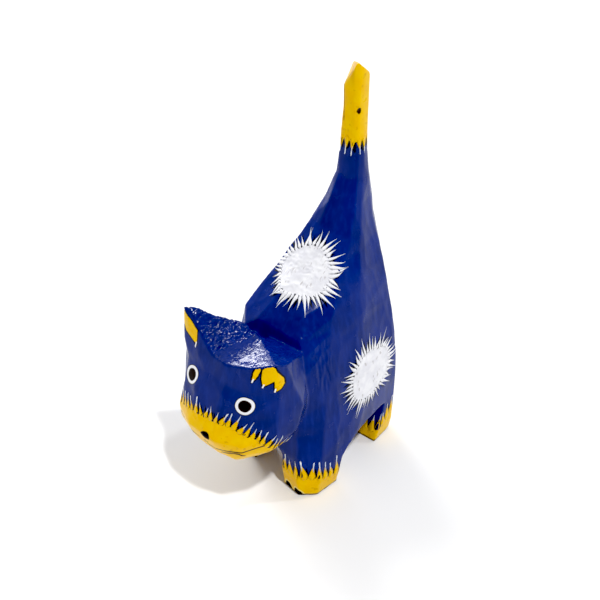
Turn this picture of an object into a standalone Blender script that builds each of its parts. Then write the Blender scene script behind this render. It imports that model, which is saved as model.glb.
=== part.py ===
"""A wooden cat, hand carved from one block: low head, high rump and the tail straight up.

The cat looks along -Y, its left side is +X and it stands on the plane z = 0.
The carver left long flat knife facets, so each blank here is a loft of polygons
whose corners run along rails, and plane cuts and cutters finish it. The blanks
are joined into one piece of wood.
"""
import math
import random

import bmesh
import bpy
from mathutils import Matrix, Vector

MM = 0.001

# Overall sizes, in millimetres
TAIL_TOP = 151.0
BODY_HEIGHTS = (0, 6, 16, 28, 38, 47, 55, 61, 65.5, 71, 75.5, 80, 86, 92, 100, 109, 118, 134, 158)
KNIFE_STAGGER = 0.9
KNIFE_WOBBLE = 0.22

# The arrises of body and tail, each as (height, x, y). The right side uses -x.
FRONT_LEFT = ((0, 15.4, -23.2), (6, 15.6, -24.2), (28, 14.8, -23.4), (47, 16.2, -22.0), (55, 15.6, -20.6),
              (61, 13.5, -18.6), (65.5, 10.5, -17.3), (71, 8.0, -13.0), (80, 5.0, -1.8), (92, 3.6, 10.4),
              (109, 2.2, 18.9), (118, 1.8, 20.7), (134, 1.6, 21.2), (158, 1.6, 21.2))
SHOULDER_LEFT = ((0, 20.4, -18.6), (6, 21.2, -18.4), (28, 20.2, -15.5), (47, 18.8, -10.5), (60, 16.8, -7.5),
                 (70, 14.4, -4.8), (80, 11.8, 1.0), (92, 8.7, 11.5), (100, 6.8, 16.5), (109, 4.9, 19.7),
                 (118, 3.7, 21.4), (134, 3.2, 22.0), (158, 3.2, 22.0))
FLANK = ((0, 21.5, -8.0), (6, 21.9, -6.0), (28, 21.9, 4.0), (47, 20.6, 6.0), (60, 18.4, 8.0), (70, 16.4, 9.0),
         (80, 13.3, 12.0), (92, 9.4, 17.0), (109, 5.2, 22.5), (118, 4.0, 24.0), (134, 3.6, 24.4), (158, 3.6, 24.4))
HAUNCH = ((0, 18.3, 26.0), (6, 19.6, 27.0), (28, 20.1, 27.2), (38, 19.9, 27.2), (47, 18.8, 27.1), (57, 16.8, 26.9),
          (70, 14.2, 26.6), (78, 11.8, 26.7), (86, 9.2, 26.7), (100, 5.5, 26.7), (118, 3.6, 26.3), (134, 3.3, 26.8),
          (158, 3.3, 26.8))
RUMP = ((0, 12.0, 30.0), (6, 13.0, 32.0), (28, 13.5, 34.3), (47, 11.5, 33.4), (70, 8.2, 31.4), (92, 4.9, 29.8),
        (118, 2.4, 28.3), (158, 1.9, 28.1))
FRONT_RIGHT = ((0, 13.0, -18.0), (6, 13.2, -18.8), (20, 14.0, -21.5), (28, 14.5, -22.9), (47, 16.0, -21.6),
               (55, 15.6, -20.4), (61, 14.2, -18.4), (65.5, 8.5, -18.0), (71, 5.5, -13.4), (80, 4.6, -1.8),
               (92, 3.6, 10.4), (109, 2.2, 18.9), (118, 1.8, 20.7), (134, 1.6, 21.2), (158, 1.6, 21.2))
SHOULDER_RIGHT = ((0, 19.0, -15.0), (6, 20.0, -15.5), (28, 20.0, -15.5), (47, 19.2, -14.5), (60, 18.0, -14.1),
                  (65.5, 17.4, -12.9), (70, 16.6, -8.4), (75, 14.4, -2.6), (80, 12.8, 2.1), (86, 11.0, 7.8),
                  (92, 9.3, 12.8), (100, 6.7, 17.6), (109, 4.8, 20.3), (118, 3.7, 21.2), (134, 3.3, 21.6),
                  (158, 3.3, 21.6))

# The head, as (height, x, y) before its turn
HEAD_HEIGHTS = (29.6, 33.5, 38, 48, 58, 68, 80)
MUZZLE = ((29.6, 5.0, -46.4), (33.5, 6.0, -48.4), (38, 6.4, -50.0), (50, 5.5, -45.3), (63, 5.0, -40.4),
          (80, 8.0, -37.6))
BROW_RIGHT = ((29.6, 12.6, -45.2), (33.5, 15.6, -45.6), (38, 16.2, -45.7), (50, 14.8, -43.0), (63, 14.6, -40.2),
              (80, 15.4, -38.8))
BROW_LEFT = ((29.6, 11.6, -44.4), (33.5, 14.8, -44.6), (38, 16.2, -44.8), (50, 15.0, -42.2), (63, 14.8, -39.0),
             (80, 15.5, -37.4))
CHEEK_RIGHT = ((29.6, 15.0, -38.0), (33.5, 18.6, -37.0), (38, 20.2, -37.4), (44, 20.6, -37.0), (50, 20.4, -37.0),
               (57, 20.0, -37.8), (63, 19.4, -39.0), (80, 18.4, -39.6))
CHEEK_LEFT = ((29.6, 15.5, -37.5), (33.5, 19.5, -35.6), (38, 21.2, -34.8), (44, 21.6, -33.8), (50, 21.6, -33.2),
              (57, 21.3, -33.3), (63, 21.1, -33.8), (80, 21.3, -34.0))
JAW_RIGHT = ((29.6, 15.5, -28.0), (33.5, 18.8, -28.0), (38, 20.4, -27.0), (50, 20.6, -24.5), (57, 20.0, -28.0),
             (63, 19.0, -32.6), (80, 18.2, -37.2))
JAW_LEFT = ((29.6, 16.0, -27.0), (33.5, 19.8, -26.5), (38, 21.6, -25.0), (50, 22.6, -22.4), (57, 21.9, -25.6),
            (63, 21.4, -28.6), (80, 21.2, -30.0))
NAPE = ((29.6, 12.0, -14.0), (38, 16.0, -14.0), (50, 16.5, -14.0), (57, 15.0, -14.0), (63, 12.5, -14.0),
        (80, 12.5, -14.0))
HEAD_TURN_DEG = 6.0
HEAD_SHIFT = (-2.2, -0.8)
NECK_PIVOT_Y = -20.0

# Top of the head: the crown point between the ears and the two ear tips, before the turn
CROWN = (0.0, -22.0, 64.0)
LEFT_EAR_TIP = (21.1, -33.8, 70.8)
RIGHT_EAR_TIP = (-17.4, -38.8, 75.0)
RIGHT_EAR_ROOT = (-6.0, -24.6, 68.8)
LEFT_BACK_FALL = (10, 4, -1.2)
RIGHT_BACK_FALL = (0, 0.75, -1)
GROOVE_FLOOR = ((-2.6, -41.0, 64.4), (3.0, -41.0, 64.6))

# Cuts below the belly and between the legs
ARCH = ((-8.4, -2), (-8.4, 0), (-7.5, 5.5), (-5.6, 10.5), (-1.8, 13.9), (3.2, 16.1), (12.0, 17.2), (20.8, 17.4),
        (19.0, 10.0), (17.0, 4.0), (16.6, 0), (16.6, -2))
LEG_GAP_FRONT = (-9.5, 7.2)
LEG_GAP_BACK = (-8.6, 8.4)
LEG_GAP_HEIGHT = 20.0
LEG_GAP_ENDS = (-32, -8, 12, 42)

# How far the crown cutters reach: front, back and over the head, and out past each side of it
CROWN_CUT_FRONT, CROWN_CUT_BACK, CROWN_CUT_OVER = -60.0, -5.0, 60.0
CROWN_CUT_SIDES = (-33.0, 34.0)
CROWN_CUT_OVERLAP = (0.29, -0.37)

# Knife cuts that end the tail: a point on each and its outward direction
TAIL_CUT_ABOVE = 110.0
TAIL_CUTS = (((3.1, 21.9, TAIL_TOP), (0.21, 0.68, 0.70)), ((2.6, 21.5, TAIL_TOP), (-0.70, -0.58, 0.42)))


def on_rail(rail, height):
    """The (x, y) of a rail at a height, straight between its knots."""
    for (z0, x0, y0), (z1, x1, y1) in zip(rail, rail[1:]):
        if height <= z1:
            t = max(0.0, (height - z0) / (z1 - z0))
            return x0 + t * (x1 - x0), y0 + t * (y1 - y0)
    return rail[-1][1:]


def rings_along(heights, left_rails, right_rails, stagger, wobble, seed):
    """Rings of corners, counterclockwise from above. Each corner's height is staggered, as a knife leaves it."""
    rng = random.Random(seed)
    rings = []
    for number, height in enumerate(heights):
        end = number in (0, len(heights) - 1)
        ring = []
        for side, rails in ((1, left_rails), (-1, right_rails)):
            for rail in rails if side == 1 else reversed(rails):
                z = height + (0.0 if end else rng.uniform(-stagger, stagger))
                x, y = on_rail(rail, z)
                ring.append((side * (x + rng.uniform(-wobble, wobble)), y + rng.uniform(-wobble, wobble), z))
        rings.append(ring)
    return rings


def loft(name, rings):
    """A closed mesh object through rings of equally many corners. Each pair of triangles folds outward."""
    bm = bmesh.new()
    levels = [[bm.verts.new(Vector(p) * MM) for p in ring] for ring in rings]
    count = len(rings[0])
    for low, high in zip(levels, levels[1:]):
        for i in range(count):
            j = (i + 1) % count
            a, b, c, d = low[i], low[j], high[j], high[i]
            outward = (b.co - a.co).cross(c.co - a.co)
            if outward.dot(d.co - a.co) <= 0:
                facets = (a, b, c), (a, c, d)
            else:
                facets = (a, b, d), (b, c, d)
            for facet in facets:
                bm.faces.new(facet)
    bm.faces.new(list(reversed(levels[0])))
    bm.faces.new(levels[-1])
    bmesh.ops.recalc_face_normals(bm, faces=bm.faces)
    mesh = bpy.data.meshes.new(name)
    bm.to_mesh(mesh)
    bm.free()
    return bpy.data.objects.new(name, mesh)


def knife_cut(obj, point, outward, above):
    """Takes off what lies beyond a plane, on the part of the object above a height, and closes the cut."""
    bm = bmesh.new()
    bm.from_mesh(obj.data)
    faces = [f for f in bm.faces if min(v.co.z for v in f.verts) > above * MM]
    geom = faces + list({e for f in faces for e in f.edges}) + list({v for f in faces for v in f.verts})
    cut = bmesh.ops.bisect_plane(bm, geom=geom, dist=1e-7, plane_co=Vector(point) * MM,
                                 plane_no=Vector(outward), clear_outer=True)
    bmesh.ops.edgeloop_fill(bm, edges=[e for e in cut["geom_cut"] if isinstance(e, bmesh.types.BMEdge)])
    bmesh.ops.recalc_face_normals(bm, faces=bm.faces)
    bm.to_mesh(obj.data)
    bm.free()


def make_body():
    rings = rings_along(BODY_HEIGHTS, (FRONT_LEFT, SHOULDER_LEFT, FLANK, HAUNCH, RUMP),
                        (FRONT_RIGHT, SHOULDER_RIGHT, FLANK, HAUNCH, RUMP), KNIFE_STAGGER, KNIFE_WOBBLE, 4)
    body = loft("cat", rings)
    for point, outward in TAIL_CUTS:
        knife_cut(body, point, outward, TAIL_CUT_ABOVE)
    return body


def make_head():
    return loft("head_blank", rings_along(HEAD_HEIGHTS, (MUZZLE, BROW_LEFT, CHEEK_LEFT, JAW_LEFT, NAPE),
                                          (MUZZLE, BROW_RIGHT, CHEEK_RIGHT, JAW_RIGHT, NAPE), 0.3, 0.2, 7))


def make_ear_back(name, ridge, fall, low_x, high_x):
    """A cutter that slopes one side of the crown from an ear's ridge, given from low to high x, down to the neck."""
    ridge = [Vector(point) for point in ridge]
    sections = []
    for number, x in enumerate([low_x] + [point.x for point in ridge[1:-1]] + [high_x]):
        start = min(number, len(ridge) - 2)
        normal = (ridge[start + 1] - ridge[start]).cross(Vector(fall))
        front, back = (ridge[start].z
                       - (normal.x * (x - ridge[start].x) + normal.y * (y - ridge[start].y)) / normal.z
                       for y in (CROWN_CUT_FRONT, CROWN_CUT_BACK))
        sections.append([(x, CROWN_CUT_FRONT, front), (x, CROWN_CUT_BACK, back),
                         (x, CROWN_CUT_BACK, back + CROWN_CUT_OVER), (x, CROWN_CUT_FRONT, front + CROWN_CUT_OVER)])
    return loft(name, sections)


def make_groove():
    (rx, ry, rz), (lx, ly, lz) = GROOVE_FLOOR
    near, far = Vector((rx, ry, rz)), Vector((lx, ly, lz))
    crown = Vector(CROWN)
    left, right = Vector(LEFT_EAR_TIP), Vector(RIGHT_EAR_TIP)

    def beyond(a, b, t):
        return a + (b - a) * t

    front = [beyond(crown, near, 1.6), beyond(crown, far, 1.6), None, None]
    back = [crown + Vector((-0.3, 10, 0.4)), crown + Vector((0.3, 10, 0.4)), None, None]
    slope_left = (left - far) / (left.x - far.x)
    slope_right = (right - near) / (near.x - right.x)
    for ring in (front, back):
        ring[2] = ring[1] + Vector((30, 0, 30 * slope_left.z))
        ring[3] = ring[0] + Vector((-30, 0, 30 * slope_right.z))
    return loft("ear_groove", [[tuple(p) for p in front], [tuple(p) for p in back]])


def make_arch():
    return loft("belly_arch", [[(x, y, z) for y, z in ARCH] for x in (-40, 40)])


def make_leg_gap():
    def section(edges, y):
        left, right = edges[1], edges[0]
        top = LEG_GAP_HEIGHT
        return [(left, y, -2), (left, y, top * 0.75), (left - 3.0, y, top * 0.95), (0, y, top),
                (right + 3.0, y, top * 0.95), (right, y, top * 0.75), (right, y, -2)]

    return loft("leg_gap", [section(edges, y) for edges, y in zip((LEG_GAP_FRONT,) * 2 + (LEG_GAP_BACK,) * 2,
                                                                  LEG_GAP_ENDS)])


def stand_on_origin(solid, together):
    """Moves everything so that the finished solid's box stands centred on the origin."""
    mesh = solid.evaluated_get(bpy.context.evaluated_depsgraph_get()).to_mesh()
    xs, ys, zs = ([v.co[axis] for v in mesh.vertices] for axis in range(3))
    shift = Matrix.Translation((-(min(xs) + max(xs)) / 2, -(min(ys) + max(ys)) / 2, -min(zs)))
    for obj in together:
        obj.data.transform(shift)


def main():
    for obj in list(bpy.data.objects):
        bpy.data.objects.remove(obj)
    wood = bpy.data.materials.new("painted_wood")
    wood.use_nodes = True
    paint = wood.node_tree.nodes["Principled BSDF"]
    paint.inputs["Base Color"].default_value = (0.012, 0.03, 0.26, 1)
    paint.inputs["Roughness"].default_value = 0.25

    body = make_body()
    head = make_head()
    groove = make_groove()
    left_back = make_ear_back("left_ear_back", (CROWN, LEFT_EAR_TIP), LEFT_BACK_FALL,
                              CROWN_CUT_OVERLAP[1], CROWN_CUT_SIDES[1])
    right_back = make_ear_back("right_ear_back", (RIGHT_EAR_TIP, RIGHT_EAR_ROOT, CROWN), RIGHT_BACK_FALL,
                               CROWN_CUT_SIDES[0], CROWN_CUT_OVERLAP[0])
    arch = make_arch()
    leg_gap = make_leg_gap()
    turn = (Matrix.Translation(Vector((HEAD_SHIFT[0], NECK_PIVOT_Y + HEAD_SHIFT[1], 0)) * MM)
            @ Matrix.Rotation(math.radians(-HEAD_TURN_DEG), 4, "Z")
            @ Matrix.Translation(Vector((0, -NECK_PIVOT_Y, 0)) * MM))
    for piece in (head, groove, left_back, right_back):
        piece.data.transform(turn)

    parts = bpy.data.collections.new("Wooden cat")
    tools = bpy.data.collections.new("Blanks and cutters")
    for collection in (parts, tools):
        bpy.context.scene.collection.children.link(collection)
    parts.objects.link(body)
    body.data.materials.append(wood)
    for helper in (head, groove, left_back, right_back, arch, leg_gap):
        tools.objects.link(helper)
        helper.hide_render = True
        helper.display_type = "WIRE"

    for target, operation, other in ((head, "DIFFERENCE", left_back), (head, "DIFFERENCE", right_back),
                                     (head, "DIFFERENCE", groove), (body, "DIFFERENCE", arch),
                                     (body, "DIFFERENCE", leg_gap), (body, "UNION", head)):
        step = target.modifiers.new(other.name, "BOOLEAN")
        step.operation = operation
        step.object = other
        step.solver = "EXACT"
    stand_on_origin(body, (body, head, groove, left_back, right_back, arch, leg_gap))


main()
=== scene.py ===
# %% [markdown]
# # A carved and painted wooden cat
# The real cat is cut with a knife from one block of light wood and covered with thick glossy
# paint: ultramarine all over, yellow muzzle, ears, paws and tail tip with spiky brushed edges, and
# white patches of painted fur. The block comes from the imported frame. This lesson softens its
# arrises, adds the tool marks, paints it with one shader, and lays the brush strokes on as relief.
# All sizes are in millimetres, and MM turns them into metres.

# %% Load the frame and measure it
import math

import bmesh
import bpy
import numpy as np
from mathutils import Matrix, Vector, noise
from mathutils.bvhtree import BVHTree


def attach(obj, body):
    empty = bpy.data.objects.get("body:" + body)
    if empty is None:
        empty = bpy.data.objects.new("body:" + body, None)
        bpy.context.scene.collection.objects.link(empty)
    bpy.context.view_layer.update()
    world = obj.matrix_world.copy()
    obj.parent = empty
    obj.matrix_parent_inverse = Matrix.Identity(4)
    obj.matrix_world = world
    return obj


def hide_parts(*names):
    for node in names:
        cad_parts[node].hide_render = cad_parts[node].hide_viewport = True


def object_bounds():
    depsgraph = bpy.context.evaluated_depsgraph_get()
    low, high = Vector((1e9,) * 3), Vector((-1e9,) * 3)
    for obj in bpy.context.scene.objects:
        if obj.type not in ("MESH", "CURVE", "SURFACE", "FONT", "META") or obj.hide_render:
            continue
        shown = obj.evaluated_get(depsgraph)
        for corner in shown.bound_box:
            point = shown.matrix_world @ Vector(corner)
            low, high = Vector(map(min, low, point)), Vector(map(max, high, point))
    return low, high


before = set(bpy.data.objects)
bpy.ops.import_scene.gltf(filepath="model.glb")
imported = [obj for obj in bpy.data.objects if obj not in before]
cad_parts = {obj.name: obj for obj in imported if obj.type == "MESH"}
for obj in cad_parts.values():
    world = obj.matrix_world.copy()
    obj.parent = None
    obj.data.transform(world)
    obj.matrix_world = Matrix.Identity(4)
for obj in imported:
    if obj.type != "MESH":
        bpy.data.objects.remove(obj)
cad_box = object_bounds()
MM = 0.001
low, high = (np.array(corner) / MM for corner in cad_box)
print("block, mm:", np.round(high - low, 1))

# %% [markdown]
# The camera stands where the photographer stood: in front, to the cat's left, looking down. A
# long lens keeps the lines nearly parallel, so the distance matters as much as the direction.

# %% Camera
LOOK_AZIMUTH, LOOK_ELEVATION, LOOK_DISTANCE = math.radians(40.0), math.radians(37.0), 450.0
LOOK_AT = Vector((-2.774, 8.914, 65.726))
back = Vector((math.sin(LOOK_AZIMUTH) * math.cos(LOOK_ELEVATION),
               -math.cos(LOOK_AZIMUTH) * math.cos(LOOK_ELEVATION), math.sin(LOOK_ELEVATION)))
camera_data = bpy.data.cameras.new("camera")
camera_data.lens, camera_data.sensor_width = 76.94, 36.0
camera = bpy.data.objects.new("camera", camera_data)
bpy.context.scene.collection.objects.link(camera)
camera.location = (LOOK_AT + back * LOOK_DISTANCE) * MM
camera.rotation_euler = back.to_track_quat("Z", "Y").to_euler()
bpy.context.scene.camera = camera
print("camera, mm:", [round(c / MM, 1) for c in camera.location])

# %% [markdown]
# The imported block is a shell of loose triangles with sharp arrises. A copy has its doubles merged,
# then a voxel remesh gives even little faces, which a few rounds of smoothing round off by about a
# millimetre, as thick paint does. A subdivision surface would pull the long thin facets about.

# %% Fine mesh of the block
VOXEL, SOFTEN_ROUNDS = 0.42, 10
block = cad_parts["cat"]
shell = bmesh.new()
shell.from_mesh(block.data)
bmesh.ops.remove_doubles(shell, verts=shell.verts, dist=1e-6)
carved_mesh = bpy.data.meshes.new("carved")
shell.to_mesh(carved_mesh)
shell.free()
cat = bpy.data.objects.new("painted_cat", carved_mesh)
bpy.context.scene.collection.objects.link(cat)


def apply_modifiers(obj):
    """Turns what the object's modifiers make into its own plain mesh."""
    made = bpy.data.meshes.new_from_object(obj.evaluated_get(bpy.context.evaluated_depsgraph_get()))
    obj.modifiers.clear()
    obj.data = made


remesh = cat.modifiers.new("even faces", "REMESH")
remesh.mode, remesh.voxel_size = "VOXEL", VOXEL * MM
soften = cat.modifiers.new("soft arrises", "SMOOTH")
soften.factor, soften.iterations = 0.5, SOFTEN_ROUNDS
apply_modifiers(cat)
print("fine faces:", len(cat.data.polygons))

# %% [markdown]
# The places of the paint are numbers taken once and used twice: by the carving below, which lifts
# thick paint a little, and by the shader. A patch of fur is a centre, the direction it faces and a
# radius for each of twelve directions round it.

# %% Places of the paint, in millimetres
SPOTS = {
    "shoulder": {"centre": (1.2, 7.4, 79.9), "faces": (0.12, -0.70, 0.70), "up": (0, 0.7, 0.7),
                 "depth": 9.0,
                 "radii": (10.4, 10.6, 10.4, 11.4, 11.1, 11.2, 12.0, 10.5, 11.1, 9.5, 9.5, 10.7)},
    "hip": {"centre": (21.5, 18.4, 39.8), "faces": (1, 0.04, 0.05), "up": (0, 0, 1), "depth": 7.0,
            "radii": (13.2, 12.2, 9.9, 10.5, 10.9, 11.0, 11.0, 11.9, 11.6, 10.9, 11.6, 13.2)},
    "right_flank": {"centre": (-18.5, 4.0, 56.0), "faces": (-1, -0.05, 0.2), "up": (0, 0, 1), "depth": 7.0,
                    "radii": (8.4, 8.8, 9.4, 9.0, 8.2, 7.8, 8.2, 8.8, 9.2, 8.8, 8.4, 8.0)},
    "rump": {"centre": (-6.0, 41.0, 44.0), "faces": (-0.35, 1, 0.1), "up": (0, 0, 1), "depth": 7.0,
             "radii": (8.0, 8.6, 9.2, 9.4, 8.8, 8.0, 7.8, 8.4, 9.0, 9.0, 8.4, 8.0)},
}
FLECK, FLECK_HALF = (4.2, 30.8, 133.8), (0.8, 0.8, 1.1)


def spot_axes(spot):
    """The patch's own right, up and outward directions."""
    outward = Vector(spot["faces"]).normalized()
    across = Vector(spot["up"]).cross(outward).normalized()
    return across, outward.cross(across), outward


# %% [markdown]
# A knife leaves long shallow hollows that meet in faint ridges. The squared distance to the
# nearest of scattered points, stretched along the grain, has just that shape. End grain on the
# ears tears into pits instead, and a few gouges run down the neck.

# %% Tool marks
# How far each mark rises over the block or sinks into it, in millimetres.
HOLLOWS, HOLLOW_FLOOR, WAVES = 0.44, 0.10, 0.05
TORN_UP, PITS_DOWN = 0.20, 0.60
GOUGES_UP, GOUGES_DOWN = 0.10, 0.42
DABS_UP, DABS_DOWN, FLECK_DOWN = 0.14, 0.32, 0.5
TORN_UNTIL, CLEANER = 1.5, 0.35  # beyond this x the crown was cut cleaner: this share is torn


def smooth_step(value, start, end):
    t = np.clip((value - start) / (end - start), 0.0, 1.0)
    return t * t * (3 - 2 * t)


def each_noise(points, scale, offset=0.0):
    """Smooth noise of every point, after a stretch of each axis by its scale in millimetres."""
    return np.array([noise.noise(Vector(p)) for p in points / np.array(scale) + offset])


def on_crown(facing_up, y, z, start, full):
    """1 on the crown and the ears' inner slopes, where the wood faces up: here the knife met end grain."""
    return smooth_step(facing_up, start, full) * smooth_step(z, 60.0, 62.0) * smooth_step(-y, 11.5, 14.0)


def each_hollow(points, scale):
    """Squared distance to the nearest scattered point: hollows with ridges between them."""
    cells = (noise.voronoi(Vector(p), distance_metric="DISTANCE") for p in points / np.array(scale))
    return np.array([distances[0] ** 2 for distances, _ in cells])


count = len(cat.data.vertices)
points, normals = np.empty(count * 3, np.float32), np.empty(count * 3, np.float32)
cat.data.vertices.foreach_get("co", points)
cat.data.vertices.foreach_get("normal", normals)
points, normals = points.reshape(-1, 3).astype(float) / MM, normals.reshape(-1, 3)
x, y, z = points.T
bend = np.stack([each_noise(points, (9, 9, 9), k * 7.3) for k in range(3)], axis=1) * 1.6
body_hollows = each_hollow(points + bend, (6.5, 6.5, 24.0))
on_head = smooth_step(-y, 9.0, 13.0) * smooth_step(z, 26.0, 30.0)
head_hollows = each_hollow(points + bend + 50.0, (7.0, 7.0, 10.0))
relief = HOLLOWS * (body_hollows * (1 - on_head) + head_hollows * on_head) - HOLLOW_FLOOR
relief += WAVES * each_noise(points, (2.6, 2.6, 5.0))
end_grain = on_crown(normals[:, 2], y, z, 0.62, 0.78)
end_grain *= np.where(x > TORN_UNTIL, CLEANER, 1.0)
pits = np.abs(each_noise(points, (1.1, 2.0, 1.1), 31.0))
pits += 0.5 * np.abs(each_noise(points, (0.6, 0.9, 0.6), 3.0))
relief += end_grain * (TORN_UP - PITS_DOWN * pits)
neck_side = smooth_step(x, 9.0, 11.5) * smooth_step(z, 42.0, 50.0) * (1 - smooth_step(z, 66.0, 72.0))
neck_side *= (1 - smooth_step(y, -1.0, 3.0)) * smooth_step(y, -9.0, -7.0)
gouges = np.abs(each_noise(points, (1.3, 1.3, 7.0), 12.0))
relief += neck_side * (GOUGES_UP - GOUGES_DOWN * gouges)
relief *= smooth_step(z, 0.2, 1.6)
print("relief, mm:", relief.min().round(2), "to", relief.max().round(2))

# %% Thick paint and the fleck on the tail
patch_amount = np.zeros(count)
for spot in SPOTS.values():
    across, upward, outward = (np.array(axis) for axis in spot_axes(spot))
    away = points - np.array(spot["centre"])
    u, v, depth = away @ across, away @ upward, np.abs(away @ outward)
    turn = np.mod(np.arctan2(v, u) / (2 * math.pi), 1.0) * 12
    radius = np.interp(turn, range(13), spot["radii"] + spot["radii"][:1])
    inside = smooth_step(radius - np.hypot(u, v), -0.4, 0.8) * (depth < spot["depth"])
    patch_amount = np.maximum(patch_amount, inside)
dabs = np.abs(each_noise(points + 0.6 * bend, (1.6, 3.2, 1.4), 5.0))
relief += patch_amount * (DABS_UP - DABS_DOWN * dabs)
fleck = np.linalg.norm((points - np.array(FLECK)) / np.array(FLECK_HALF), axis=1)
relief -= FLECK_DOWN * np.clip(1 - fleck, 0, 1)

# The right ear's tip and the torn half of the crown stand a little higher than the block's facets.
FULL_EAR, FULL_EAR_REACH, FULL_EAR_LIFT, CROWN_LIFT = (-18.6, -27.0, 73.6), 4.5, 1.7, 0.6
ear_tip = np.exp(-(np.linalg.norm(points - np.array(FULL_EAR), axis=1) / FULL_EAR_REACH) ** 2)
lift = np.zeros_like(points)
lift[:, 2] = FULL_EAR_LIFT * ear_tip + CROWN_LIFT * end_grain * np.clip((TORN_UNTIL - x) / 8, 0, 1)

# The wood keeps a little room under the strokes, so that they too stay inside the block's box.
ROOM = np.array((0.2, 0.2, 0.0))
moved = np.clip(points + normals * relief[:, None] + lift, low + ROOM, high - ROOM)
moved[:, 2] = np.where(z < 0.25, 0.0, moved[:, 2])
cat.data.vertices.foreach_set("co", (moved * MM).astype(np.float32).ravel())
MOST_FACES = 190000
thin = cat.modifiers.new("fewer faces on flat parts", "DECIMATE")
thin.ratio = min(1.0, MOST_FACES / (2 * len(cat.data.polygons)))
apply_modifiers(cat)
cat.data.name = "painted_cat"
cat.data.shade_smooth()
corners = np.array([corner.co for corner in cat.data.vertices]) / MM
upward = np.array([corner.normal.z for corner in cat.data.vertices])
crown = on_crown(upward, corners[:, 1], corners[:, 2], 0.55, 0.8).astype(np.float32)
cat.data.attributes.new("end_grain", "FLOAT", "POINT").data.foreach_set("value", crown)
print("faces:", len(cat.data.polygons), "painted patch, share:", round(float(patch_amount.mean()), 3))

# %% [markdown]
# All the paint is one shader. Arithmetic on sockets is written as plain expressions through a
# small class, so a mask reads like the sum it stands for. Every pattern reads Object coordinates
# in millimetres, so it stays on the wood whatever the camera does.

# %% Arithmetic on sockets
class Field:
    """A socket of a shader tree that takes part in plain arithmetic."""

    def __init__(self, tree, socket):
        self.tree, self.socket = tree, socket

    def node(self, kind, settings=None, values=None, output=0):
        """Adds a node: first its settings, then the numbers, colours or Fields of its sockets."""
        made = self.tree.nodes.new(kind)
        for name, value in (settings or {}).items():
            if name == "stops":
                ramp = made.color_ramp
                while len(ramp.elements) < len(value):
                    ramp.elements.new(0.5)
                for element, (place, grey) in zip(ramp.elements, value):
                    element.position, element.color = place, (grey, grey, grey, 1)
            else:
                setattr(made, name, value)
        for key, value in (values or {}).items():
            if isinstance(value, Field):
                self.tree.links.new(value.socket, made.inputs[key])
            else:
                made.inputs[key].default_value = value
        return Field(self.tree, made.outputs[output])

    def maths(self, operation, first, *others):
        return self.node("ShaderNodeMath", {"operation": operation}, dict(enumerate((first,) + others)))

    def __add__(self, other):
        return self.maths("ADD", self, other)

    def __sub__(self, other):
        return self.maths("SUBTRACT", self, other)

    def __rsub__(self, other):
        return self.maths("SUBTRACT", other, self)

    def __mul__(self, other):
        return self.maths("MULTIPLY", self, other)

    def __truediv__(self, other):
        return self.maths("DIVIDE", self, other)

    __radd__, __rmul__ = __add__, __mul__

    def highest(self, other):
        return self.maths("MAXIMUM", self, other)

    def under(self, limit, soft):
        """1 where the value is under the limit, 0 over it, with an edge this soft."""
        return self.node("ShaderNodeMapRange", {"interpolation_type": "SMOOTHSTEP"},
                         {0: limit - self, 1: -soft / 2, 2: soft / 2})

    def over(self, limit, soft):
        return 1 - self.under(limit, soft)

    def noise(self, size, detail=2.0, stretch=(1, 1, 1), offset=0.0):
        """Cloudy noise with features about this many millimetres wide, longer where stretch is larger."""
        share = tuple(1 / (size * k) for k in stretch)
        slid = (offset, offset, offset)
        moved = self.node("ShaderNodeMapping", None, {"Vector": self, "Location": slid, "Scale": share})
        return self.node("ShaderNodeTexNoise", None, {"Vector": moved, "Scale": 1.0, "Detail": detail})

    def along(self, direction, start=(0, 0, 0)):
        """How far the place is from a start, along a direction."""
        reach = Vector(direction).normalized()
        found = self.node("ShaderNodeVectorMath", {"operation": "DOT_PRODUCT"}, {0: self, 1: reach}, 1)
        return found - reach.dot(start)

    def to_line(self, start, end):
        """Distance from the place to a straight piece of line."""
        a, run = Vector(start), Vector(end) - Vector(start)
        share = self.node("ShaderNodeClamp", None, {0: self.along(run, a) / run.length})
        foot = self.node("ShaderNodeVectorMath", {"operation": "MULTIPLY_ADD"},
                         {0: share.as_vector(), 1: run, 2: a})
        return self.node("ShaderNodeVectorMath", {"operation": "DISTANCE"}, {0: self, 1: foot}, 1)

    def flattened(self, direction):
        """The place slid along a direction, onto the plane through the origin that faces that way."""
        found = self.node("ShaderNodeVectorMath", {"operation": "PROJECT"}, {0: self, 1: direction})
        return self.node("ShaderNodeVectorMath", {"operation": "SUBTRACT"}, {0: self, 1: found})

    def as_vector(self):
        return self.node("ShaderNodeCombineXYZ", None, {0: self, 1: self, 2: self})


def blend(mask, first, second):
    """The first colour, with the second one where the mask is 1."""
    return mask.node("ShaderNodeMix", {"data_type": "RGBA"}, {0: mask, 6: first, 7: second}, 2)


def new_paint(name):
    """A material, its shader's sockets, and a Field of the place on the object in millimetres."""
    material = bpy.data.materials.new(name)
    material.use_nodes = True
    tree = material.node_tree
    where = Field(tree, tree.nodes.new("ShaderNodeTexCoord").outputs["Object"])
    place = where.node("ShaderNodeVectorMath", {"operation": "SCALE"}, {0: where, "Scale": 1 / MM})
    return material, tree.nodes["Principled BSDF"].inputs, place


def connect(inputs, **fields):
    for name, field in fields.items():
        field.tree.links.new(field.socket, inputs[name.replace("_", " ")])


# %% [markdown]
# Each coloured area is a mask with a crisp edge. The brush strokes laid on later hide most of that
# edge, so the masks only have to be in the right place.

# %% Masks of the painted areas
MUZZLE_AXIS = (1.0, -22.0)
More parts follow.
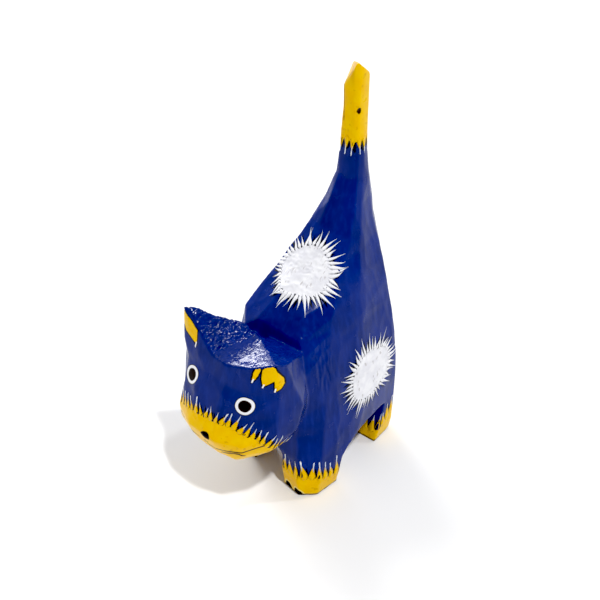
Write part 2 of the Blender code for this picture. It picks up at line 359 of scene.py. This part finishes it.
# Height of the muzzle's upper edge, for directions round the axis in degrees from straight ahead.
MUZZLE_TOP = ((-180, 20), (-118, 24), (-100, 30), (-80, 36), (-62, 40.0), (-44.4, 42.5), (-33.3, 44.0),
              (-13.4, 45.0), (8.4, 45.6), (21.3, 45.7), (30.5, 44.2), (38.5, 43.2), (46.9, 42.3),
              (52.4, 39.5), (61.9, 36.5), (72, 34.0), (90, 31.0), (118, 24), (180, 20))
PAWS = {"front_left": (15.0, -7.0), "front_right": (-15.0, -6.0),
        "hind_left": (14.5, 34.0), "hind_right": (-14.5, 34.0)}
PAW_TOP, FRONT_PAW_SLOPE, HIND_PAW_SLOPE = 10.6, -0.40, 1.0
TAIL_PAINT_FROM, TAIL_MIDDLE = 122.3, (1.2, 33.0)
MOST_RADIUS, MOST_HEIGHT = 20, 100  # what a full grey stands for in the ramps below


def spot_mask(place, spot):
    """1 inside a patch of fur."""
    across, upward, outward = spot_axes(spot)
    u, v, depth = (place.along(axis, spot["centre"]) for axis in (across, upward, outward))
    turn = u.maths("FRACT", u.maths("ARCTAN2", v, u) / (2 * math.pi))
    radii = spot["radii"] + spot["radii"][:1]
    stops = [(i / 12, radius / MOST_RADIUS) for i, radius in enumerate(radii)]
    radius = turn.node("ShaderNodeValToRGB", {"stops": stops}, {0: turn}) * MOST_RADIUS
    inside = u.maths("SQRT", u * u + v * v).under(radius, 0.25)
    return inside * depth.maths("ABSOLUTE", depth).under(spot["depth"], 0.5)


def muzzle_mask(place):
    """1 on the muzzle, under its wavy upper edge."""
    x, y, z = (place.along(axis) for axis in ((1, 0, 0), (0, 1, 0), (0, 0, 1)))
    turn = x.maths("ARCTAN2", x - MUZZLE_AXIS[0], MUZZLE_AXIS[1] - y) / (2 * math.pi) + 0.5
    stops = [(degrees / 360 + 0.5, height / MOST_HEIGHT) for degrees, height in MUZZLE_TOP]
    top = turn.node("ShaderNodeValToRGB", {"stops": stops}, {0: turn}) * MOST_HEIGHT
    return z.under(top, 0.3) * y.under(-12.5, 0.3) * z.over(26.0, 0.3)


def paw_top(y):
    """Height of the yellow on a leg at a place along the body: it falls away behind the front toes."""
    if isinstance(y, Field):
        front, hind = (y + 13).highest(0) * FRONT_PAW_SLOPE, (y - 27).highest(0) * HIND_PAW_SLOPE
        return front.highest(-5.0) + hind.maths("MINIMUM", hind, 6.0) + PAW_TOP
    front, hind = max(-5.0, max(0.0, y + 13) * FRONT_PAW_SLOPE), min(6.0, max(0.0, y - 27) * HIND_PAW_SLOPE)
    return front + hind + PAW_TOP


def paw_mask(place):
    """1 on the feet."""
    return place.along((0, 0, 1)).under(paw_top(place.along((0, 1, 0))), 0.3)


cat_paint, cat_shader, place = new_paint("cat_paint")
white_area = None
for spot in SPOTS.values():
    mask = spot_mask(place, spot)
    white_area = mask if white_area is None else white_area.highest(mask)
tail_area = place.along((0, 0, 1)).over(TAIL_PAINT_FROM, 0.3)
yellow_area = muzzle_mask(place).highest(paw_mask(place)).highest(tail_area)
print("mask nodes:", len(cat_paint.node_tree.nodes))

# %% [markdown]
# The face is small shapes. An eye, the nose and a claw are ellipses in the plane they face. The ear
# insides are straight-sided shapes, and the mouth is a chain of thin lines. The hidden half of the
# mouth is the seen half reflected in the middle plane of the turned head.

# %% Masks of the face, ears and claws
# An ellipse is its centre and two half-axes.
EYES = (((10.45, -35.2, 53.7), (3.1, 1.45, 0.7), (-0.5, 0.7, 3.1)),
        ((-14.5, -34.2, 53.2), (3.2, -0.5, 2.0), (-0.95, 1.25, 2.85)))
NOSE = ((-2.0, -42.1, 38.0), (2.05, -0.15, -0.45), (0.95, -0.2, 1.6))
CLAWS = ((11.4, -14.0, 0.3), (16.2, -14.8, 0.3), (-9.4, -10.0, 0.3), (-14.4, -10.2, 0.3))
CLAW_AXES = (1.9, 0, 0), (-0.5, 0, 3.0)
MOUTH = ((-3.4, -40.8, 34.2), (-2.7, -40.6, 33.4), (-2.0, -40.2, 32.5), (-0.1, -40.3, 32.6),
         (2.3, -40.7, 33.3), (5.6, -40.3, 34.1), (9.1, -39.4, 35.0), (11.7, -37.9, 35.5),
         (14.2, -34.9, 36.5), (16.8, -31.4, 37.5))
LIP = ((3.6, -39.9, 32.2), (6.6, -39.6, 33.3), (9.0, -39.2, 34.2), (10.5, -38.7, 34.4),
       (11.5, -37.1, 33.2))
TAIL_LINES = (((-1.9, 30.0, 142.6), (1.4, 30.1, 147.3), (0.7, 32.3, 149.2)),
              ((-1.7, 30.0, 141.8), (-1.1, 29.6, 129.0)))
HEAD_MIDDLE, HEAD_ACROSS = Vector((0.79, -12.5, 0)), Vector((0.9945, -0.1045, 0))

# An ear shape is its direction across, the depth behind which it stops, and its corners as
# (across, height). The left ear has three lobes, and the right ear one long shape.
LEFT_ACROSS, RIGHT_ACROSS = (1, 1, 0), (1, 0, 0)
EAR_SHAPES = ((LEFT_ACROSS, 28.0, ((-11.4, 68.6), (-11.8, 65.0), (-11.4, 61.9), (-7.4, 64.3),
                                   (-6.4, 67.4), (-7.1, 69.6), (-8.3, 70.6), (-10.1, 70.1))),
              (LEFT_ACROSS, 28.0, ((-7.5, 68.9), (-7.6, 64.5), (-7.4, 59.9), (-5.3, 60.5),
                                   (-4.1, 61.9), (-4.4, 64.3), (-6.3, 67.5))),
              (LEFT_ACROSS, 28.0, ((-14.3, 67.1), (-14.8, 64.8), (-14.8, 63.8), (-13.8, 64.7),
                                   (-12.8, 66.3), (-11.9, 68.5), (-12.1, 69.3), (-13.5, 69.1))),
              (RIGHT_ACROSS, 27.0, ((-22.4, 76.2), (-22.2, 70.3), (-20.2, 67.3), (-14.2, 65.0),
                                    (-14.5, 70.6), (-19.6, 74.0))))
EAR_TIPS = (((15.25, -30.9, 62.7), (14.95, -31.2, 61.6)), ((18.15, -28.4, 60.9), (18.0, -28.6, 59.7)),
            ((12.2, -32.6, 64.5), (11.85, -32.9, 63.4)), ((-14.4, -31.5, 65.6), (-14.7, -31.8, 63.8)))
FAR_OUT = 9  # what a mask's distance gains where its shape may not show


def ellipse(place, centre, first, second):
    """How far out a place is from the centre of an ellipse with these half-axes: 1 on its edge."""
    first, second = Vector(first), Vector(second)
    skew = first.dot(second)
    area = first.length_squared * second.length_squared - skew ** 2
    duals = [(first * second.length_squared - second * skew) / area,
             (second * first.length_squared - first * skew) / area]
    u, v = (place.along(dual, centre) * dual.length for dual in duals)
    away = place.node("ShaderNodeVectorMath", {"operation": "DISTANCE"}, {0: place, 1: centre}, 1)
    return u.maths("SQRT", u * u + v * v) + away.over(7.0, 0.5) * FAR_OUT


def straight_sided(place, across, depth, corners):
    """How far out a place is from a convex shape: 0 on its edge. Corners go round counterclockwise."""
    across, upward = Vector(across).normalized(), Vector((0, 0, 1))
    found = place.along(across.cross(upward)).under(depth, 0.5) * (2 * FAR_OUT) - FAR_OUT
    for (u0, v0), (u1, v1) in zip(corners, corners[1:] + corners[:1]):
        outward = across * (v1 - v0) - upward * (u1 - u0)
        found = found.highest(place.along(outward, across * u0 + upward * v0))
    return found


def nearest(fields):
    """The least of some distances."""
    found = None
    for field in fields:
        found = field if found is None else found.maths("MINIMUM", found, field)
    return found


def reflected(point):
    """The point on the other side of the head's middle plane."""
    return Vector(point) - HEAD_ACROSS * 2 * (Vector(point) - HEAD_MIDDLE).dot(HEAD_ACROSS)


wavy = place.noise(1.3, 2.0) * 0.5 - 0.25
end_grain = place.node("ShaderNodeAttribute", {"attribute_name": "end_grain"}, None, 2)
eye_out = nearest([ellipse(place, *eye) for eye in EYES])
nose_out = ellipse(place, *NOSE) + wavy * 0.3
claw_out = nearest([ellipse(place, centre, *CLAW_AXES) for centre in CLAWS]) + wavy * 0.3
ear_out = nearest([straight_sided(place, *shape) for shape in EAR_SHAPES]) + wavy * 0.6
ear_out = ear_out + end_grain * FAR_OUT


def drawn_line(place, points, faces, depth):
    """Distance to a chain of points, seen along the direction that the wood faces there."""
    faces = Vector(faces).normalized()
    flat, points = place.flattened(faces), [Vector(p) - faces * faces.dot(p) for p in points]
    found = nearest([flat.to_line(*pair) for pair in zip(points, points[1:])])
    return found + place.along(faces).under(depth, 0.5) * FAR_OUT


hidden_mouth = [reflected(p) for p in MOUTH[4:]]
mouth_out = nearest([drawn_line(place, MOUTH[:7], (0.1, -0.95, -0.2), 28.0),
                     drawn_line(place, MOUTH[6:], (0.62, -0.78, 0), 30.0),
                     drawn_line(place, LIP, (0.35, -0.9, -0.2), 28.0),
                     drawn_line(place, hidden_mouth, (-0.75, -0.65, 0), 24.0)]) + wavy * 0.3
tail_lines_out = nearest([drawn_line(place, line, (-0.5, -0.85, 0), -29.8) for line in TAIL_LINES]) + wavy
fleck_out = ellipse(place, FLECK, (0, FLECK_HALF[1], 0), (0, 0, FLECK_HALF[2])) + wavy
fleck_out = fleck_out + place.along((1, 0, 0)).under(2.0, 0.5) * FAR_OUT
tip_faces = [(0.5 if start[0] > 0 else 0, -0.8, 0) for start, _ in EAR_TIPS]
tip_out = nearest([drawn_line(place, tip, faces, 25.0) for tip, faces in zip(EAR_TIPS, tip_faces)])
print("mask nodes:", len(cat_paint.node_tree.nodes))

# %% [markdown]
# Ultramarine over raw wood is never one colour: it is deeper in clouds where the coat is thick, and
# shows the pull of the brush along the grain. Gloss comes from a smooth base layer with a fine bump,
# and the torn end grain has a clear coat besides, because thick paint pools there and glints.

# %% Colours and gloss
BLUE, DEEP_BLUE, PULLED_BLUE = (0.011, 0.029, 0.21, 1), (0.008, 0.023, 0.16, 1), (0.015, 0.041, 0.27, 1)
YELLOW, THICK_YELLOW = (0.86, 0.50, 0.002, 1), (0.88, 0.56, 0.003, 1)
# The second yellow on the next line is painted shade for the tail's darker sides.
STAINED_YELLOW, TAIL_SHADE_YELLOW = (0.55, 0.25, 0.004, 1), (0.55, 0.27, 0.002, 1)
LINE_BROWN, CLAW_RIM = (0.25, 0.10, 0.003, 1), (0.9, 0.72, 0.25, 1)
WHITE, THIN_WHITE, CRACK_GREY = (0.90, 0.90, 0.93, 1), (0.78, 0.78, 0.83, 1), (0.45, 0.42, 0.42, 1)
BLACK, UMBER, PUPIL = (0.004, 0.004, 0.006, 1), (0.035, 0.014, 0.006, 1), (0.016, 0.009, 0.007, 1)
EYE_RING, PUPIL_EDGE, CLAW_RING = 1.08, 0.69, 1.22  # as shares of the ellipse
MOUTH_HALF, TIP_HALF, TAIL_LINE_HALF = 0.30, 0.26, 0.22  # half widths of the thin lines

cloud, streak = place.noise(11.0), place.noise(1.6, 3.0, (1, 1, 6))
blue = blend(cloud.over(0.5, 0.4), DEEP_BLUE, BLUE)
blue = blend(streak.over(0.58, 0.3) * 0.5, blue, PULLED_BLUE)

# The tail's yellow turns darker on every side but its +x one: painted shade.
shaded_tail_sides = place.along((0.75, 0, 1)).over(117.0, 8.0) * place.along((1, 0, 0)).under(2.6, 1.2)
yellow = blend(place.noise(4.0).over(0.52, 0.4), YELLOW, THICK_YELLOW)
yellow = blend(place.noise(2.2, 3.0, offset=4.0).over(0.66, 0.12) * 0.5, yellow, STAINED_YELLOW)
yellow = blend(shaded_tail_sides * 0.6, yellow, TAIL_SHADE_YELLOW)
yellow = blend(tail_lines_out.under(TAIL_LINE_HALF, 0.3) * 0.7, yellow, LINE_BROWN)

hairs = place.noise(0.45, 2.0, (1.5, 4, 8), 9.0)
cracks = hairs.over(0.62, 0.1) * place.noise(3.0, 2.0, offset=6.0).over(0.55, 0.1)
white = blend(place.noise(4.5, 2.0, offset=2.0).over(0.5, 0.25) * 0.8, WHITE, THIN_WHITE)
white = blend(cracks * 0.6, white, CRACK_GREY)

# Later coats cover earlier ones. Last of all, the feet turn dark brown along their lowest millimetre.
pupils, nose, claws = eye_out.under(PUPIL_EDGE, 0.06), nose_out.under(1.0, 0.1), claw_out.under(1.0, 0.1)
lines = mouth_out.under(MOUTH_HALF, 0.15).highest(fleck_out.under(1.0, 0.3))
coats = ((ear_out.under(0.5, 0.3), BLACK), (yellow_area.highest(ear_out.under(0.0, 0.15)), yellow),
         (tip_out.under(TIP_HALF, 0.15), WHITE), (claw_out.under(CLAW_RING, 0.1), CLAW_RIM),
         (claws, BLACK), (lines, UMBER), (nose, BLACK), (eye_out.under(EYE_RING, 0.06), BLACK),
         (eye_out.under(1.0, 0.06), WHITE), (pupils, PUPIL), (white_area, white),
         (place.along((0, 0, 1)).under(wavy + 1.0, 0.3) * 0.8, UMBER))
colour = blue
for mask, coat in coats:
    colour = blend(mask, colour, coat)
roughness = (place.noise(5.0, 3.0) * 0.20 + 0.14) * (1 - end_grain * 0.5)
roughness = roughness + white_area * 0.25 + yellow_area * 0.06
roughness = roughness.highest(pupils.highest(nose).highest(claws) * 0.7)
ripple = place.noise(0.9, 3.0, (1, 1, 3)) * 0.5 + place.noise(0.5, 1.0) * 0.12 + white_area * hairs * 0.9
torn = place.noise(1.1, 4.0, (1, 2.2, 1), 5.0) - 0.5
ripple = ripple * (1 - end_grain * 0.6) + torn.maths("ABSOLUTE", torn) * end_grain * 8
bump = place.node("ShaderNodeBump", None, {"Strength": 0.4, "Distance": 0.12 * MM, "Height": ripple})
connect(cat_shader, Base_Color=colour, Roughness=roughness, Normal=bump, Coat_Weight=end_grain * 0.35)
cat_shader["Coat Roughness"].default_value = 0.08
cat_shader["Specular IOR Level"].default_value = 0.16
cat.data.materials.clear()
cat.data.materials.append(cat_paint)

# %% [markdown]
# The fur is painted with single strokes of a fine brush: first black, then thick yellow or white,
# and thin pale hairs that carry on each yellow point. They have real thickness, so each is a little
# blade, widest near its root. One Geometry Nodes tree repeats it along the rim of a painted area,
# turns it outwards, varies it, and presses it onto the wood. The rims are found by rays.

# %% The tree of brush strokes
def brush_tree():
    tree = bpy.data.node_groups.new("brush strokes", "GeometryNodeTree")
    kinds = {"Rim": "Geometry", "Wood": "Object", "Paint": "Material", "Seed": "Int"}
    for name in ("Rim", "Wood", "Gap", "Length", "Width", "Thickness", "Lift", "Fan", "Spread", "Taper",
                 "Start", "Seed", "Paint"):
        kind = kinds.get(name, "Float")
        tree.interface.new_socket(name, in_out="INPUT", socket_type="NodeSocket" + kind)
    tree.interface.new_socket("Strokes", in_out="OUTPUT", socket_type="NodeSocketGeometry")
    given = tree.nodes.new("NodeGroupInput")
    value = {socket.name: Field(tree, socket) for socket in given.outputs if socket.name}
    rim = value["Rim"]

    def chance(low, high, shift):
        seed = rim.maths("ADD", value["Seed"], shift)
        return rim.node("FunctionNodeRandomValue", {"data_type": "FLOAT"}, {2: low, 3: high, 8: seed}, 1)

    # One blade of unit length and width, in three bends. Its height is kept as an attribute, then
    # taken out, so that the blade lies flat until it lands on the wood.
    share = rim.node("GeometryNodeSplineParameter")
    bends = []
    begin = rim.node("ShaderNodeCombineXYZ", None, {1: value["Start"]})
    for bend in (-0.11, 0.01, 0.13):
        line = rim.node("GeometryNodeCurvePrimitiveLine", None, {"Start": begin, "End": (0, 1, 0)})
        line = rim.node("GeometryNodeResampleCurve", None, {"Curve": line, "Count": 11})
        reach = rim.node("ShaderNodeSeparateXYZ", None, {0: rim.node("GeometryNodeInputPosition")}, 1)
        sideways = reach * reach * bend * (value["Length"] / value["Width"])
        sideways = rim.node("ShaderNodeCombineXYZ", None, {0: sideways})
        line = rim.node("GeometryNodeSetPosition", None, {"Geometry": line, "Offset": sideways})
        ring = rim.node("GeometryNodeCurvePrimitiveCircle", None, {"Resolution": 5, "Radius": 0.5})
        root = rim.maths("MINIMUM", share * 5 + 0.1, 1.0)
        narrowing = rim.maths("POWER", 1 - share, value["Taper"]) * root + 0.03
        blade = rim.node("GeometryNodeCurveToMesh", None,
                         {"Curve": line, "Profile Curve": ring, "Scale": narrowing, "Fill Caps": True})
        height = rim.node("ShaderNodeSeparateXYZ", None, {0: rim.node("GeometryNodeInputPosition")}, 2)
        blade = rim.node("GeometryNodeStoreNamedAttribute", {"data_type": "FLOAT", "domain": "POINT"},
                         {"Geometry": blade, "Name": "height", "Value": height})
        flat = rim.node("ShaderNodeCombineXYZ", None, {2: height * -1})
        bends.append(rim.node("GeometryNodeSetPosition", None, {"Geometry": blade, "Offset": flat}))
    blades = rim.node("GeometryNodeGeometryToInstance", None, {"Geometry": bends[0]})
    for blade in bends[1:]:
        tree.links.new(blade.socket, blades.socket.node.inputs[0])

    # The rim becomes evenly spaced points, each turned to face off the wood and point outwards.
    points = rim.node("GeometryNodeMeshToCurve", None, {"Mesh": rim})
    points = rim.node("GeometryNodeResampleCurve", {"mode": "LENGTH"},
                      {"Curve": points, "Length": value["Gap"]})
    turned = rim
    for number, (axis, pivot, name) in enumerate((("Z", "AUTO", "faces"), ("Y", "Z", "outward"))):
        kept = {"data_type": "FLOAT_VECTOR"}
        direction = rim.node("GeometryNodeInputNamedAttribute", kept, {"Name": name})
        inputs = {"Vector": direction} if number == 0 else {"Vector": direction, "Rotation": turned}
        turned = rim.node("FunctionNodeAlignRotationToVector", {"axis": axis, "pivot_axis": pivot}, inputs)
    fan = rim.node("ShaderNodeCombineXYZ", None, {2: value["Fan"] * chance(-1.0, 1.0, 1)})
    fan = rim.node("FunctionNodeEulerToRotation", None, {0: fan})
    turned = rim.node("FunctionNodeRotateRotation", {"rotation_space": "LOCAL"},
                      {"Rotation": turned, "Rotate By": fan})
    vary = value["Spread"]
    wide = value["Width"] * (1 + vary * chance(-0.7, 0.7, 2))
    long = value["Length"] * (1 + vary * chance(-1.0, 1.0, 3))
    size = rim.node("ShaderNodeCombineXYZ", None, {0: wide, 1: long, 2: 1.0})
    which = rim.node("FunctionNodeRandomValue", {"data_type": "INT"}, {4: 0, 5: 2, 8: value["Seed"]}, 2)
    strokes = rim.node("GeometryNodeInstanceOnPoints", None,
                       {"Points": points, "Instance": blades, "Pick Instance": True,
                        "Instance Index": which, "Rotation": turned, "Scale": size})
    strokes = rim.node("GeometryNodeRealizeInstances", None, {"Geometry": strokes})

    # Every corner goes to the nearest place on the wood, then up by its own height.
    wood = rim.node("GeometryNodeObjectInfo", None, {"Object": value["Wood"]}, 4)
    samples = []
    for kind in ("GeometryNodeInputPosition", "GeometryNodeInputNormal"):
        samples.append(rim.node("GeometryNodeSampleNearestSurface", {"data_type": "FLOAT_VECTOR"},
                                {"Mesh": wood, "Value": rim.node(kind)}))
    height = rim.node("GeometryNodeInputNamedAttribute", {"data_type": "FLOAT"}, {"Name": "height"})
    rise = height * value["Thickness"] * 2 + value["Lift"]
    raised = rim.node("ShaderNodeVectorMath", {"operation": "SCALE"}, {0: samples[1], "Scale": rise})
    landed = rim.node("ShaderNodeVectorMath", {"operation": "ADD"}, {0: samples[0], 1: raised})
    strokes = rim.node("GeometryNodeSetPosition", None, {"Geometry": strokes, "Position": landed})
    strokes = rim.node("GeometryNodeSetShadeSmooth", None, {"Geometry": strokes})
    strokes = rim.node("GeometryNodeSetMaterial", None, {"Geometry": strokes, "Material": value["Paint"]})
    tree.links.new(strokes.socket, tree.nodes.new("NodeGroupOutput").inputs[0])
    return tree


strokes_tree = brush_tree()
print("stroke nodes:", len(strokes_tree.nodes))

# %% [markdown]
# A rim is a chain of places on the wood. Each place is the hit of a ray, and keeps the direction
# that its strokes take, laid flat on the wood there.

# %% Rims of the painted areas
SPOT_RAYS, MUZZLE_RAYS, TAIL_RAYS = 12, 60, 30  # how far outside the wood the rays start
PAW_HALF, LONGEST_STEP = 7.5, 6.0  # half a leg's width, and the step that breaks a rim off
wood_rays = BVHTree.FromPolygons([corner.co / MM for corner in cat.data.vertices],
                                 [face.vertices[:] for face in cat.data.polygons])


def make_rim(name, rays, closed):
    """A chain through the hits of rays, each given as (start, direction, way the strokes point)."""
    places, faces, outward = [], [], []
    for start, direction, way in rays:
        hit, normal, _, _ = wood_rays.ray_cast(Vector(start), Vector(direction).normalized())
        if hit is None or (places and (hit - places[-1]).length > LONGEST_STEP):
            continue
        places.append(hit)
        faces.append(normal)
        outward.append((way(hit) - normal * way(hit).dot(normal)).normalized())
    edges = [(i, i + 1) for i in range(len(places) - 1)] + ([(len(places) - 1, 0)] if closed else [])
    mesh = bpy.data.meshes.new(name)
    mesh.from_pydata([p * MM for p in places], edges, [])
    for key, vectors in (("faces", faces), ("outward", outward)):
        kept = mesh.attributes.new(key, "FLOAT_VECTOR", "POINT")
        kept.data.foreach_set("vector", np.array(vectors).ravel())
    return mesh


def spot_rim(name, shrink):
    """The edge of a patch of fur, this much smaller than the patch."""
    spot = SPOTS[name]
    across, upward, outward = spot_axes(spot)
    centre, rays = Vector(spot["centre"]), []
    for degree in range(0, 360, 6):
        turn, place = math.radians(degree), degree / 30
        radius = float(np.interp(place, range(13), spot["radii"] + spot["radii"][:1])) - shrink
        away = across * math.cos(turn) + upward * math.sin(turn)
        rays.append((centre + away * radius + outward * SPOT_RAYS, -outward, lambda hit, away=away: away))
    return make_rim(name, rays, True)


def muzzle_rim(drop):
    """The upper edge of the muzzle: its strokes point up and away from the nose."""
    axis, nose, rays = Vector((*MUZZLE_AXIS, 0)), Vector((-2.0, -42.0, 33.0)), []
    for degree in range(-94, 84, 2):
        turn = math.radians(degree)
        top = float(np.interp(degree, [a for a, _ in MUZZLE_TOP], [t for _, t in MUZZLE_TOP]))
        away = Vector((math.sin(turn), -math.cos(turn), 0))
        rays.append((axis + away * MUZZLE_RAYS + Vector((0, 0, top - drop)), -away,
                     lambda hit: Vector((0, 0, 0.8)) + 0.75 * (hit - nose).normalized()))
    return make_rim("muzzle", rays, False)


def paw_rim(name, drop):
    """The upper edge of the yellow on one leg, found by rays from inside the leg."""
    (cx, cy), rays = PAWS[name], []
    for degree in range(0, 360, 5):
        away = Vector((math.cos(math.radians(degree)), math.sin(math.radians(degree)), 0))
        top = paw_top(cy + away.y * PAW_HALF) - drop
        rays.append((Vector((cx, cy, top)), away, lambda hit: Vector((0, 0, 1))))
    return make_rim(name, rays, True)


def tail_rim(drop):
    """The lower edge of the yellow on the tail, with strokes that point down."""
    rays = []
    for degree in range(0, 360, 8):
        away = Vector((math.cos(math.radians(degree)), math.sin(math.radians(degree)), 0))
        start = Vector((*TAIL_MIDDLE, TAIL_PAINT_FROM + drop)) + away * TAIL_RAYS
        rays.append((start, -away, lambda hit: Vector((0, 0, -1))))
    return make_rim("tail", rays, True)


# %% [markdown]
# One call lays one coat of strokes on a list of rims. All the black goes on first and lowest, then
# the yellow and the white, and the pale hairs lie highest, so that later coats cover earlier ones.
# A pale hair has the gap, fan, spread and seed of the yellow stroke under it, so it meets its point.

# %% Coats of strokes
def lay_strokes(name, rims, coat, gap, length, width, fan, spread, taper, seed, start=-0.25):
    """One coat of strokes as one piece. Lengths are in millimetres, and the start is a share."""
    paint, thickness, lift = coat
    joined = bpy.data.objects.new(name, bpy.data.meshes.new(name))
    bpy.context.scene.collection.objects.link(joined)
    coats = []
    for number, rim in enumerate(rims):
        holder = bpy.data.objects.new(rim.name, rim)
        bpy.context.scene.collection.objects.link(holder)
        step = holder.modifiers.new("strokes", "NODES")
        step.node_group = strokes_tree
        wanted = {"Wood": cat, "Gap": gap * MM, "Length": length * MM, "Width": width * MM,
                  "Thickness": thickness * MM, "Lift": lift * MM, "Fan": fan, "Spread": spread,
                  "Taper": taper, "Start": start, "Seed": seed + 10 * number, "Paint": paint}
        for item in strokes_tree.interface.items_tree:
            if item.in_out == "INPUT" and item.name in wanted:
                step[item.identifier] = wanted[item.name]
        apply_modifiers(holder)
        coats.append(holder)
    bm = bmesh.new()
    for holder in coats:
        bm.from_mesh(holder.data)
        bpy.data.objects.remove(holder)
    for corner in bm.verts:
        corner.co = np.clip(corner.co, low * MM, high * MM)
    bm.to_mesh(joined.data)
    bm.free()
    joined.data.materials.append(paint)
    joined.data.shade_smooth()
    print(name, "faces:", len(joined.data.polygons))
    return joined


def plain_paint(name, colour, second, roughness):
    """One colour of stroke, a little mixed with a second one."""
    material, shader, place = new_paint(name)
    pull = place.node("ShaderNodeBump", None,
                      {"Strength": 0.3, "Distance": 0.1 * MM, "Height": place.noise(0.5)})
    connect(shader, Base_Color=blend(place.noise(1.2).over(0.55, 0.3), colour, second), Normal=pull)
    shader["Roughness"].default_value = roughness
    shader["Specular IOR Level"].default_value = 0.2
    return material


white_stroke = plain_paint("white_stroke", WHITE, (0.86, 0.87, 0.92, 1), 0.45)
yellow_stroke = plain_paint("yellow_stroke", YELLOW, THICK_YELLOW, 0.3)
black_stroke = plain_paint("black_stroke", BLACK, (0.004, 0.006, 0.02, 1), 0.35)
hair_stroke = plain_paint("pale_hair", (0.62, 0.70, 0.85, 1), WHITE, 0.4)
spot_rims = [spot_rim(name, 0.5) for name in SPOTS]
paw_rims = [paw_rim(name, 0.3) for name in PAWS]
muzzle_rims, tail_rims = [muzzle_rim(0.5)], [tail_rim(0.4)]

# A coat is its paint, its thickness and how far it lies off the wood.
BLACK_COAT, YELLOW_COAT = (black_stroke, 0.03, 0.02), (yellow_stroke, 0.05, 0.04)
HAIR_COAT, WHITE_COAT = (hair_stroke, 0.04, 0.13), (white_stroke, 0.08, 0.06)
ON_PAWS = {"rims": paw_rims, "gap": 3.1, "fan": 0.12, "spread": 0.15, "seed": 6}
ON_MUZZLE = {"rims": muzzle_rims, "gap": 2.4, "fan": 0.25, "spread": 0.3, "seed": 7}
ON_TAIL = {"rims": tail_rims, "gap": 2.5, "fan": 0.15, "spread": 0.3, "seed": 7}
pieces = [
    lay_strokes("black_under_fur", spot_rims, BLACK_COAT, gap=1.5, length=3.3, width=2.0,
                fan=0.2, spread=0.4, taper=0.9, seed=3),
    lay_strokes("black_under_paws", paw_rims, BLACK_COAT, gap=1.7, length=3.4, width=2.2,
                fan=0.15, spread=0.3, taper=0.7, seed=4),
    lay_strokes("black_under_muzzle", muzzle_rims, BLACK_COAT, gap=1.4, length=2.8, width=1.7,
                fan=0.2, spread=0.3, taper=0.6, seed=5),
    lay_strokes("black_under_tail_tip", tail_rims, BLACK_COAT, gap=1.6, length=3.4, width=2.2,
                fan=0.2, spread=0.3, taper=0.5, seed=5, start=0.05),
    lay_strokes("yellow_paw_strokes", coat=YELLOW_COAT, length=5.0, width=4.0, taper=1.1, start=-0.4,
                **ON_PAWS),
    lay_strokes("yellow_muzzle_strokes", coat=YELLOW_COAT, length=3.6, width=2.6, taper=1.2, **ON_MUZZLE),
    lay_strokes("yellow_tail_strokes", coat=YELLOW_COAT, length=3.6, width=3.2, taper=1.2, **ON_TAIL),
    lay_strokes("pale_tips_of_paws", coat=HAIR_COAT, length=6.2, width=0.6, taper=0.8, start=0.55, **ON_PAWS),
    lay_strokes("pale_tips_of_muzzle", coat=HAIR_COAT, length=4.7, width=0.5, taper=0.8, start=0.45,
                **ON_MUZZLE),
    lay_strokes("pale_tips_of_tail", coat=HAIR_COAT, length=5.0, width=0.6, taper=0.8, start=0.5, **ON_TAIL),
    lay_strokes("white_fur_strokes", spot_rims, WHITE_COAT, gap=1.55, length=4.9, width=2.1,
                fan=0.35, spread=0.45, taper=1.6, seed=8),
]

# %% [markdown]
# The photo has a white table in soft daylight. Light comes from all round, most from beyond the
# cat. A high window on the camera's right throws the pale grey shadow to the left, a far window and
# a low panel beyond the cat brighten the slopes that face away, and a small lamp is to the right.

# %% Table and light
floor_data = bpy.data.meshes.new("table")
floor_data.from_pydata([(-3, -3, 0), (3, -3, 0), (3, 3, 0), (-3, 3, 0)], [], [(0, 1, 2, 3)])
floor = bpy.data.objects.new("table", floor_data)
bpy.context.scene.collection.objects.link(floor)
floor_paint, floor_shader, floor_place = new_paint("table_white")
table_white = blend(floor_place.noise(60.0), (0.90, 0.90, 0.90, 1), (0.93, 0.93, 0.93, 1))
connect(floor_shader, Base_Color=table_white)
floor_shader["Roughness"].default_value = 0.55
floor_data.materials.append(floor_paint)

sky = bpy.data.worlds.new("studio")
bpy.context.scene.world = sky
sky.use_nodes = True
background = sky.node_tree.nodes["Background"].inputs
direction = Field(sky.node_tree, sky.node_tree.nodes.new("ShaderNodeTexCoord").outputs["Generated"])
brighter = direction.along((-0.8, 0.45, 0.25)).over(0.0, 2.2)
connect(background, Color=blend(brighter, (0.32, 0.33, 0.35, 1), (1.0, 1.0, 1.0, 1)))
background["Strength"].default_value = 0.64


def low_sun(name, azimuth, elevation, power, spread, colour=(1, 1, 1)):
    """Even light from a compass direction and a height, all in degrees. A wider spread is softer."""
    data = bpy.data.lights.new(name, "SUN")
    data.energy, data.angle, data.color = power, math.radians(spread), colour
    lamp = bpy.data.objects.new(name, data)
    a, e = math.radians(azimuth), math.radians(elevation)
    towards = Vector((math.sin(a) * math.cos(e), -math.cos(a) * math.cos(e), math.sin(e)))
    lamp.rotation_euler = towards.to_track_quat("Z", "Y").to_euler()
    bpy.context.scene.collection.objects.link(lamp)


low_sun("window", 70, 63, 1.75, 3.5)
low_sun("far_window", 258, 54, 0.32, 9.0)
low_sun("side_panel", 245, 20, 2.0, 25.0)
low_sun("lamp", 147, 57, 0.45, 2.5)
look = bpy.context.scene.view_settings
look.view_transform = "Standard"
look.use_curve_mapping = True
look.curve_mapping.black_level = (0.024, 0.024, 0.024)
look.curve_mapping.update()

# %% Join the frame and finish
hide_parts("cat")
for piece in [cat] + pieces:
    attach(piece, "root")
